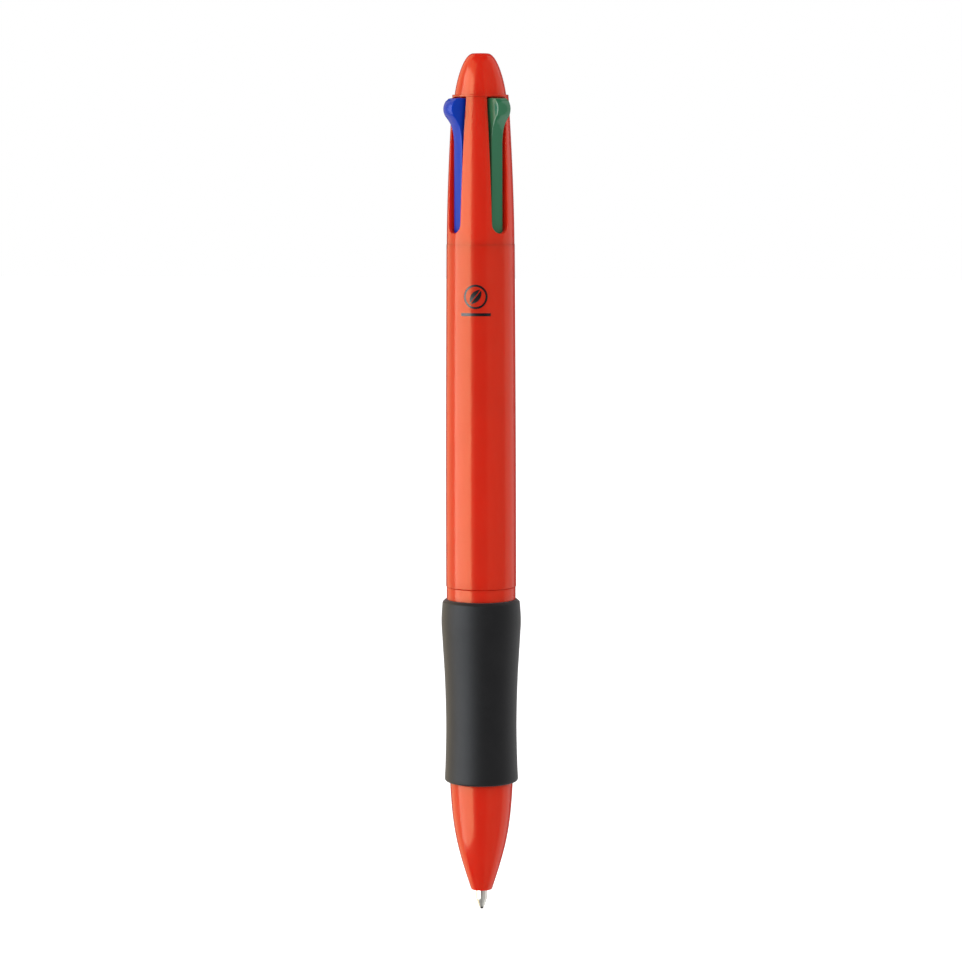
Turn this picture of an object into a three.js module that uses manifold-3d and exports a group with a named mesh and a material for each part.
// Four-colour click pen, tip down. Millimetres, +Z up along the pen's axis.
// The origin is the lowest point of the writing ball that is out, so the pen stands from z = 0 up.
// Black is latched out; blue, green and red are up.

import * as THREE from 'three';
import { mergeVertices } from 'three/addons/utils/BufferGeometryUtils.js';
import Module from 'manifold-3d';

const wasm = await Module();
wasm.setup();

// ---- driving dimensions ----

const LENGTH = 147.1;             // ball to crown with one point out
const MOUTH_Z = 3.5;              // how far that point stands out of the nose
const TRAVEL = 14;                // stroke of a slider
const LEAN = THREE.MathUtils.degToRad(2);   // how far a pressed slider leans in
const SEAM = 0.05;                // gap between casing pieces that touch

// facets
const SIDES = 36;
const SMALL_SIDES = 12;
const TUBE_SIDES = 8;
const OUTLINE_STEPS = 9;          // along the curve of the dome and of the nose
const BEND_STEPS = 14;            // along a refill tube

// casing joints, from the nose up
const GRIP_BOTTOM_Z = 22.4;
const COLLAR_Z = 54.15;
const NOSE_TOP_Z = 56.3;
const BARREL_TOP_Z = 114.9;
const HOUSING_TOP_Z = 139.75;
const FLANGE_TOP_Z = 140.15;

// casing radii
const BARREL_R = 6.02;            // at the bottom of the barrel
const BARREL_TOP_R = 5.81;
const HOUSING_R = 5.76;           // at the bottom of the housing
const HOUSING_TOP_R = 4.78;
const BARREL_CURVE = 2;           // powers of height by which the barrel and the housing taper
const HOUSING_CURVE = 1.6;
const COLLAR_R = 5.92;
const NECK_R = 4.9;               // under the grip
const NOSE_R = 5.42;              // where the nose meets the grip
const MOUTH_R = 1.28;
const LIP_R = 1.74;
const SPIGOT_R = 5;
const SOCKET_R = SPIGOT_R + SEAM; // bore at both ends of the barrel
const BARREL_BORE_R = 4.75;
const NECK_BORE_R = 3.85;
const THROAT_R = 3.25;            // where the bore starts to narrow to the mouth
const NOSE_SPIGOT_BORE_R = 4.2;
const RIB_INNER_R = 3.9;

// casing depths
const THROAT_Z = 15.9;
const NECK_BORE_LOW_Z = 21;
const NECK_BORE_TOP_Z = 50.5;
const NOSE_SPIGOT_TOP_Z = 66.4;
const LEDGE_Z = 86;               // step in the barrel that carries the guide disc
const HOUSING_SPIGOT_Z = 104;

// slots in the slider housing
const SLOT_BOTTOM_Z = 116.8;
const SLOT_TOP_HALF = 1.84;
const SLOT_BOTTOM_HALF = 1.6;
const CHANNEL_HALF = 1.6;         // guide channel inside, below the slot
const CHANNEL_R = 4.95;
const CHANNEL_TOP_Z = 118.5;

// guide disc
const DISC_THICKNESS = 2;
const DISC_HOLE_R = 1.25;
const DISC_HOLE_OFFSET = 3.26;

// sliders, in the up position; offsets are from the pen's axis
const ARM_INNER_R = 3.3;
const ARM_FOOT_Z = 113;
const ARM_HALF = 1.15;            // half of the arm's width
const SLIDER_EDGE = 0.2;          // rounding of its upright outer edges
const SLIDER_CROWN = 0.1;         // rise of its front between those edges
const SLIDER_LEVELS = [           // height, reach of the front, half of the width
  [ARM_FOOT_Z, 4.8, ARM_HALF],
  [131.5, 4.8, ARM_HALF],
  [132.4, 4.84, ARM_HALF],
  [133.4, 4.95, ARM_HALF],
  [134.4, 5.2, 1.17],
  [135.2, 5.58, 1.22],
  [135.9, 6.1, 1.28],
  [136.6, 6.72, 1.33],
  [137.2, 7, 1.35],
  [137.8, 7.06, 1.35],
  [138.4, 6.93, 1.35],
  [138.95, 6.6, 1.33],
  [139.35, 6.1, 1.28],
  [139.55, 5.5, 1.2],
];
const CATCH_R = 2.9;              // inner end of the catch tooth
const CATCH_LOW_Z = 131;
const CATCH_TOP_Z = 134;
const CATCH_DEPTH = 0.8;
const COLLAR_FOOT_Z = 112.05;     // spring collar at the slider's foot
const COLLAR_HEIGHT = 2;
const SPRING_COLLAR_R = 1.45;
const STUB_R = 0.48;              // plugs into the refill tube
const STUB_LENGTH = 2.5;

// refills
const TAIL_OFFSET = 3.3;          // refill top and slider foot
const REST_OFFSET = 2.15;         // point of a refill that is up
const POINT_R = 0.92;
const POINT_LENGTH = 11;
const CONE_LENGTH = 1.8;
const BALL_R = 0.35;
const BALL_SEAT_Z = 0.42;
const TUBE_R = 1;
const TUBE_BORE_R = 0.65;
const INK_R = 0.5;
const INK_END_GAP = 3;            // tube below the ink, taken by the point's spigot
const INK_TOP_GAP = 8;            // empty tube above the ink
const TUBE_TOP_Z = 111.9;
const BEND_LOW_Z = 14;            // where the bend of the refill that is out starts
const BEND_LENGTH = 70;

// return springs
const WIRE_R = 0.16;
const COIL_R = 1.27;
const COIL_TURNS = 6;
const SPRING_TOP_Z = 111.85;

// colours, with the slot's angle from the front (-Y) towards +X and whether the point is out
const COLOURS = [
  { name: 'blue', angle: -45, out: false, plastic: 0x1c3cae, ink: 0x14289a },
  { name: 'green', angle: 45, out: false, plastic: 0x2f7a4c, ink: 0x11703a },
  { name: 'red', angle: -135, out: false, plastic: 0xb81c1c, ink: 0xb01414 },
  { name: 'black', angle: 135, out: true, plastic: 0x202022, ink: 0x101012 },
];

// ---- materials ----

const plastic = (color) => new THREE.MeshStandardMaterial({ color, roughness: 0.25, metalness: 0 });
const rubber = new THREE.MeshStandardMaterial({ color: 0x2c2b2b, roughness: 0.8, metalness: 0 });
const steel = new THREE.MeshStandardMaterial({ color: 0xc8c9c4, roughness: 0.3, metalness: 1 });
const clear = new THREE.MeshStandardMaterial({ color: 0xe8ecec, roughness: 0.3, metalness: 0 });
const casingPlastic = plastic(0xd8381c);
const guidePlastic = plastic(0xe6e6e0);

// ---- helpers ----

const pen = new THREE.Group();

function add(name, geometry, material, parent = pen) {
  const mesh = new THREE.Mesh(geometry, material);
  mesh.name = name;
  parent.add(mesh);
  return mesh;
}

// Turns a closed outline of [radius, z] points about the pen's axis.
function turned(outline, sides = SIDES) {
  const points = outline.map(([r, z]) => new THREE.Vector2(r, z));
  return new THREE.LatheGeometry(points, sides).rotateX(Math.PI / 2);
}

// A hollow piece's outline closes on itself.
function ring(outline, sides = SIDES) {
  return turned([...outline, outline[0]], sides);
}

function cylinder(radius, low, high, sides = SMALL_SIDES) {
  return turned([[0, low], [radius, low], [radius, high], [0, high]], sides);
}

// Samples [radius, z] points of a curve in the outline's plane.
function sampled(curve, steps) {
  return curve.getPoints(steps).map((p) => [p.x, p.y]);
}

// Samples [radius(z), z] from z = low to z = high.
function flank(radius, low, high, steps) {
  return Array.from({ length: steps + 1 }, (_, i) => {
    const z = low + (high - low) * i / steps;
    return [radius(z), z];
  });
}

// Extrudes a shape drawn in (offset, z) to a plate of the given half thickness about the XZ plane.
function plate(shape, half, curveSegments = 5) {
  const geometry = new THREE.ExtrudeGeometry(shape, { depth: 2 * half, bevelEnabled: false, curveSegments });
  return geometry.rotateX(Math.PI / 2).translate(0, half, 0);
}

function toSolid(geometry) {
  const bare = geometry.clone();
  bare.deleteAttribute('normal');
  bare.deleteAttribute('uv');
  const merged = mergeVertices(bare);
  return new wasm.Manifold(new wasm.Mesh({
    numProp: 3,
    vertProperties: new Float32Array(merged.attributes.position.array),
    triVerts: new Uint32Array(merged.index.array),
  }));
}

function toGeometry(solid) {
  const mesh = solid.getMesh();
  const geometry = new THREE.BufferGeometry();
  geometry.setAttribute('position', new THREE.BufferAttribute(mesh.vertProperties, 3));
  geometry.setIndex(new THREE.BufferAttribute(mesh.triVerts, 1));
  geometry.computeVertexNormals();
  return geometry;
}

function joined(...geometries) {
  return toGeometry(geometries.map(toSolid).reduce((whole, piece) => whole.add(piece)));
}

function cut(geometry, cutters) {
  return toGeometry(cutters.map(toSolid).reduce((whole, cutter) => whole.subtract(cutter), toSolid(geometry)));
}

// Closes a stack of level outlines, each with the same number of points, into a solid.
function loft(levels) {
  const count = levels[0].length;
  const last = (levels.length - 1) * count;
  const index = [];
  for (let level = 0; level < last; level += count) {
    for (let i = 0; i < count; i += 1) {
      const a = level + i;
      const b = level + (i + 1) % count;
      index.push(a, b, b + count, a, b + count, a + count);
    }
  }
  for (let i = 1; i < count - 1; i += 1) {
    index.push(0, i + 1, i, last, last + i, last + i + 1);
  }
  const geometry = new THREE.BufferGeometry();
  geometry.setAttribute('position', new THREE.Float32BufferAttribute(levels.flat(2), 3));
  geometry.setIndex(index);
  return geometry;
}

// Turns geometry that lies along +X to the slot at the given angle from the front.
function slotTurn(angle) {
  return THREE.MathUtils.degToRad(angle - 90);
}

// ---- casing ----

function barrelRadius(z) {
  const height = (z - NOSE_TOP_Z) / (BARREL_TOP_Z - NOSE_TOP_Z);
  return BARREL_R - (BARREL_R - BARREL_TOP_R) * Math.max(height, 0) ** BARREL_CURVE;
}

function housingRadius(z) {
  const height = (z - BARREL_TOP_Z) / (HOUSING_TOP_Z - BARREL_TOP_Z);
  return HOUSING_R - (HOUSING_R - HOUSING_TOP_R) * height ** HOUSING_CURVE;
}

// The dome, the flange that closes the slots, and the centre post with its catch ring.
function crownCap() {
  const postR = 1.9;
  const postZ = 115;
  const catchR = 2.1;
  const catchZ = CATCH_TOP_Z - TRAVEL + 0.3;
  const catchHeight = 1;
  const catchTaper = 0.6;
  const plugZ = 135;
  const flangeZ = HOUSING_TOP_Z + SEAM;
  const domeR = 4.36;
  const flatR = 1.5;
  const dome = new THREE.CubicBezierCurve(
    new THREE.Vector2(domeR, FLANGE_TOP_Z),
    new THREE.Vector2(3.95, 143),
    new THREE.Vector2(2.8, LENGTH),
    new THREE.Vector2(flatR, LENGTH),
  );
  const body = turned([
    [0, postZ],
    [postR, postZ],
    [postR, catchZ],
    [catchR, catchZ],
    [catchR, catchZ + catchHeight],
    [postR, catchZ + catchHeight + catchTaper],
    [postR, flangeZ],
    [HOUSING_TOP_R - 0.06, flangeZ],
    [HOUSING_TOP_R - 0.02, flangeZ + 0.1],
    [HOUSING_TOP_R - 0.16, FLANGE_TOP_Z - 0.05],
    ...sampled(dome, OUTLINE_STEPS),
    [0, LENGTH],
  ]);
  const lobeHalf = 0.9;
  const lobeReach = Math.sqrt((RIB_INNER_R - SEAM) ** 2 - lobeHalf ** 2);
  const lobeHeight = flangeZ - plugZ + SEAM;
  const lobes = [0, 1].map((i) => new THREE.BoxGeometry(2 * lobeReach, 2 * lobeHalf, lobeHeight)
    .translate(0, 0, plugZ + lobeHeight / 2)
    .rotateZ(i * Math.PI / 2));
  return joined(body, ...lobes);
}

function slotCutter(angle) {
  const top = FLANGE_TOP_Z;
  const centreZ = SLOT_BOTTOM_Z + SLOT_BOTTOM_HALF;
  const shape = new THREE.Shape();
  shape.moveTo(SLOT_BOTTOM_HALF, centreZ);
  shape.lineTo(SLOT_TOP_HALF, top);
  shape.lineTo(-SLOT_TOP_HALF, top);
  shape.lineTo(-SLOT_BOTTOM_HALF, centreZ);
  shape.absarc(0, centreZ, SLOT_BOTTOM_HALF, Math.PI, 2 * Math.PI, false);
  const halfDepth = 3;
  return plate(shape, halfDepth, 6)
    .rotateZ(-Math.PI / 2)
    .translate(halfDepth + RIB_INNER_R / 2, 0, 0)
    .rotateZ(slotTurn(angle));
}

function channelCutter(angle, low, high, reach) {
  return new THREE.BoxGeometry(reach, 2 * CHANNEL_HALF, high - low)
    .translate(reach / 2, 0, (low + high) / 2)
    .rotateZ(slotTurn(angle));
}

function sliderHousing() {
  const tube = ring([
    ...flank(housingRadius, BARREL_TOP_Z, HOUSING_TOP_Z, 7),
    [RIB_INNER_R, HOUSING_TOP_Z],
    [RIB_INNER_R, HOUSING_SPIGOT_Z],
    [SPIGOT_R, HOUSING_SPIGOT_Z],
    [SPIGOT_R, BARREL_TOP_Z],
  ]);
  const cutters = COLOURS.flatMap(({ angle }) => [
    slotCutter(angle),
    channelCutter(angle, HOUSING_SPIGOT_Z - 1, BARREL_TOP_Z, SPIGOT_R + 1),
    channelCutter(angle, BARREL_TOP_Z - 1, CHANNEL_TOP_Z, CHANNEL_R),
  ]);
  return cut(tube, cutters);
}

function mainBarrel() {
  const top = BARREL_TOP_Z - SEAM;
  const bottom = NOSE_TOP_Z + SEAM;
  const socketTop = NOSE_SPIGOT_TOP_Z + 2 * SEAM;
  return ring([
    ...flank(barrelRadius, bottom, top, 6),
    [SOCKET_R, top],
    [SOCKET_R, LEDGE_Z],
    [BARREL_BORE_R, LEDGE_Z],
    [BARREL_BORE_R, socketTop],
    [SOCKET_R, socketTop],
    [SOCKET_R, bottom],
  ]);
}

function noseSection() {
  const cone = new THREE.CubicBezierCurve(
    new THREE.Vector2(LIP_R + 0.1, MOUTH_Z + 0.12),
    new THREE.Vector2(4.27, 11),
    new THREE.Vector2(5.01, 14),
    new THREE.Vector2(NOSE_R, GRIP_BOTTOM_Z),
  );
  const boreTaper = 1.5;
  return ring([
    [LIP_R, MOUTH_Z],
    ...sampled(cone, OUTLINE_STEPS),
    [NECK_R, GRIP_BOTTOM_Z],
    [NECK_R, COLLAR_Z],
    [COLLAR_R, COLLAR_Z],
    [COLLAR_R, NOSE_TOP_Z],
    [SPIGOT_R, NOSE_TOP_Z],
    [SPIGOT_R, NOSE_SPIGOT_TOP_Z],
    [NOSE_SPIGOT_BORE_R, NOSE_SPIGOT_TOP_Z],
    [NOSE_SPIGOT_BORE_R, NECK_BORE_TOP_Z + boreTaper],
    [NECK_BORE_R, NECK_BORE_TOP_Z],
    [NECK_BORE_R, NECK_BORE_LOW_Z],
    [THROAT_R, THROAT_Z],
    [MOUTH_R, MOUTH_Z],
  ]);
}

function gripSleeve() {
  const inner = NECK_R + SEAM;
  const bottom = GRIP_BOTTOM_Z + SEAM;
  const top = COLLAR_Z - SEAM;
  const hand = new THREE.SplineCurve([
    new THREE.Vector2(6.33, bottom + 0.8),
    new THREE.Vector2(6.2, 26),
    new THREE.Vector2(6.08, 32.5),
    new THREE.Vector2(6.26, 40),
    new THREE.Vector2(6.65, 46.8),
    new THREE.Vector2(6.84, 50.4),
    new THREE.Vector2(6.68, top - 0.7),
  ]);
  return ring([
    [5.75, bottom],
    [6.2, bottom + 0.25],
    ...sampled(hand, 12),
    [6.5, top - 0.2],
    [6.2, top],
    [inner, top],
    [inner, bottom],
  ]);
}

function guideDisc() {
  const low = LEDGE_Z + SEAM;
  const disc = cylinder(SPIGOT_R, low, low + DISC_THICKNESS, SIDES);
  const holes = COLOURS.map(({ angle }) => cylinder(DISC_HOLE_R, low - 1, low + DISC_THICKNESS + 1)
    .translate(DISC_HOLE_OFFSET, 0, 0)
    .rotateZ(slotTurn(angle)));
  return cut(disc, holes);
}

// ---- one colour's slider, refill and spring, in the up position along +X ----

// Level outline of a slider: flat inner face and sides, rounded outer edges, slightly crowned front.
function sliderOutline(reach, half) {
  const centreX = reach - SLIDER_CROWN - SLIDER_EDGE;
  const centreY = half - SLIDER_EDGE;
  const corner = [0, 30, 60, 90].map((degrees) => {
    const turn = THREE.MathUtils.degToRad(degrees);
    return [centreX + SLIDER_EDGE * Math.cos(turn), centreY + SLIDER_EDGE * Math.sin(turn)];
  });
  return [
    [ARM_INNER_R, -half],
    ...corner.map(([x, y]) => [x, -y]).reverse(),
    [reach, 0],
    ...corner,
    [ARM_INNER_R, half],
  ];
}

function slider() {
  const arm = loft(SLIDER_LEVELS.map(([z, reach, half]) => sliderOutline(reach, half).map(([x, y]) => [x, y, z])));
  const toothSide = new THREE.Shape();
  toothSide.moveTo(ARM_INNER_R + SEAM, CATCH_TOP_Z);
  toothSide.lineTo(CATCH_R, CATCH_TOP_Z);
  toothSide.lineTo(CATCH_R, CATCH_TOP_Z - CATCH_DEPTH);
  toothSide.lineTo(ARM_INNER_R, CATCH_LOW_Z);
  toothSide.lineTo(ARM_INNER_R + SEAM, CATCH_LOW_Z);
  const tooth = plate(toothSide, ARM_HALF - SLIDER_EDGE);
  const collar = cylinder(SPRING_COLLAR_R, COLLAR_FOOT_Z, COLLAR_FOOT_Z + COLLAR_HEIGHT)
    .translate(TAIL_OFFSET, 0, 0);
  const stub = cylinder(STUB_R, COLLAR_FOOT_Z - STUB_LENGTH, COLLAR_FOOT_Z + SEAM, TUBE_SIDES)
    .translate(TAIL_OFFSET, 0, 0);
  return joined(arm, tooth, collar, stub);
}

// A refill's centre line: straight at the point, then one smooth bend out to the slider's foot.
class RefillLine extends THREE.Curve {
  constructor(out, low, high) {
    super();
    this.out = out;
    this.low = low;
    this.high = high;
  }

  getPoint(t, target = new THREE.Vector3()) {
    const z = this.low + (this.high - this.low) * t;
    const start = this.out ? BEND_LOW_Z : BEND_LOW_Z + TRAVEL;
    const share = THREE.MathUtils.smoothstep(z, start, start + BEND_LENGTH);
    const pointOffset = this.out ? 0 : REST_OFFSET;
    return target.set(THREE.MathUtils.lerp(pointOffset, TAIL_OFFSET, share), 0, z);
  }
}

function circle(radius) {
  return new THREE.Shape().absarc(0, 0, radius, 0, 2 * Math.PI, false);
}

function refillLine(out, below, above) {
  const lift = out ? 0 : TRAVEL;
  const top = TUBE_TOP_Z - TRAVEL + lift;
  return new RefillLine(out, POINT_LENGTH + SEAM + lift + below, top - above);
}

function refillTube(out) {
  const section = circle(TUBE_R);
  section.holes.push(circle(TUBE_BORE_R));
  return new THREE.ExtrudeGeometry(section, {
    extrudePath: refillLine(out, 0, 0),
    steps: BEND_STEPS,
    bevelEnabled: false,
    curveSegments: TUBE_SIDES / 2,
  });
}

function inkColumn(out) {
  return new THREE.ExtrudeGeometry(circle(INK_R), {
    extrudePath: refillLine(out, INK_END_GAP, INK_TOP_GAP),
    steps: BEND_STEPS,
    bevelEnabled: false,
    curveSegments: TUBE_SIDES / 2,
  });
}

function refillPoint() {
  const spigotLength = 2;
  return turned([
    [0, BALL_SEAT_Z + 0.35],
    [0.3, BALL_SEAT_Z + 0.35],
    [0.4, BALL_SEAT_Z],
    [0.5, BALL_SEAT_Z + 0.1],
    [POINT_R - 0.08, CONE_LENGTH - 0.15],
    [POINT_R, CONE_LENGTH + 0.15],
    [POINT_R, POINT_LENGTH],
    [INK_R, POINT_LENGTH],
    [INK_R, POINT_LENGTH + spigotLength],
    [0, POINT_LENGTH + spigotLength],
  ], SMALL_SIDES);
}

function writingBall() {
  return new THREE.SphereGeometry(BALL_R, 10, 6).rotateX(Math.PI / 2).translate(0, 0, BALL_R);
}

class Helix extends THREE.Curve {
  constructor(low, high) {
    super();
    this.low = low;
    this.high = high;
  }

  getPoint(t, target = new THREE.Vector3()) {
    const turn = 2 * Math.PI * COIL_TURNS * t;
    const z = this.low + (this.high - this.low) * t;
    return target.set(COIL_R * Math.cos(turn), COIL_R * Math.sin(turn), z);
  }
}

function returnSpring(out) {
  const low = LEDGE_Z + SEAM + DISC_THICKNESS + WIRE_R + SEAM;
  const high = SPRING_TOP_Z - (out ? TRAVEL : 0) - WIRE_R;
  return new THREE.ExtrudeGeometry(circle(WIRE_R), {
    extrudePath: new Helix(low, high),
    steps: 8 * COIL_TURNS,
    bevelEnabled: false,
    curveSegments: 3,
  }).translate(TAIL_OFFSET, 0, 0);
}

// ---- assembly ----

add('crown_cap', crownCap(), casingPlastic);
add('slider_housing', sliderHousing(), casingPlastic);
add('main_barrel', mainBarrel(), casingPlastic);
add('nose_section', noseSection(), casingPlastic);
add('grip_sleeve', gripSleeve(), rubber);
add('guide_disc', guideDisc(), guidePlastic);

for (const { name, angle, out, plastic: sliderColour, ink } of COLOURS) {
  const slot = new THREE.Group();
  slot.rotation.z = slotTurn(angle);
  pen.add(slot);

  // The slider leans about its foot, and hangs below its up position when it is latched.
  const foot = new THREE.Group();
  foot.position.set(TAIL_OFFSET, 0, COLLAR_FOOT_Z - (out ? TRAVEL : 0));
  foot.rotation.y = out ? -LEAN : 0;
  slot.add(foot);
  const pressed = add(`${name}_slider`, slider(), plastic(sliderColour), foot);
  pressed.position.set(-TAIL_OFFSET, 0, -COLLAR_FOOT_Z);

  add(`${name}_return_spring`, returnSpring(out), steel, slot);
  add(`${name}_refill_tube`, refillTube(out), clear, slot);
  add(`${name}_ink`, inkColumn(out), plastic(ink), slot);

  const tip = new THREE.Group();
  tip.position.set(out ? 0 : REST_OFFSET, 0, out ? 0 : TRAVEL);
  slot.add(tip);
  add(`${name}_refill_point`, refillPoint(), steel, tip);
  add(`${name}_writing_ball`, writingBall(), steel, tip);
}

export default pen;
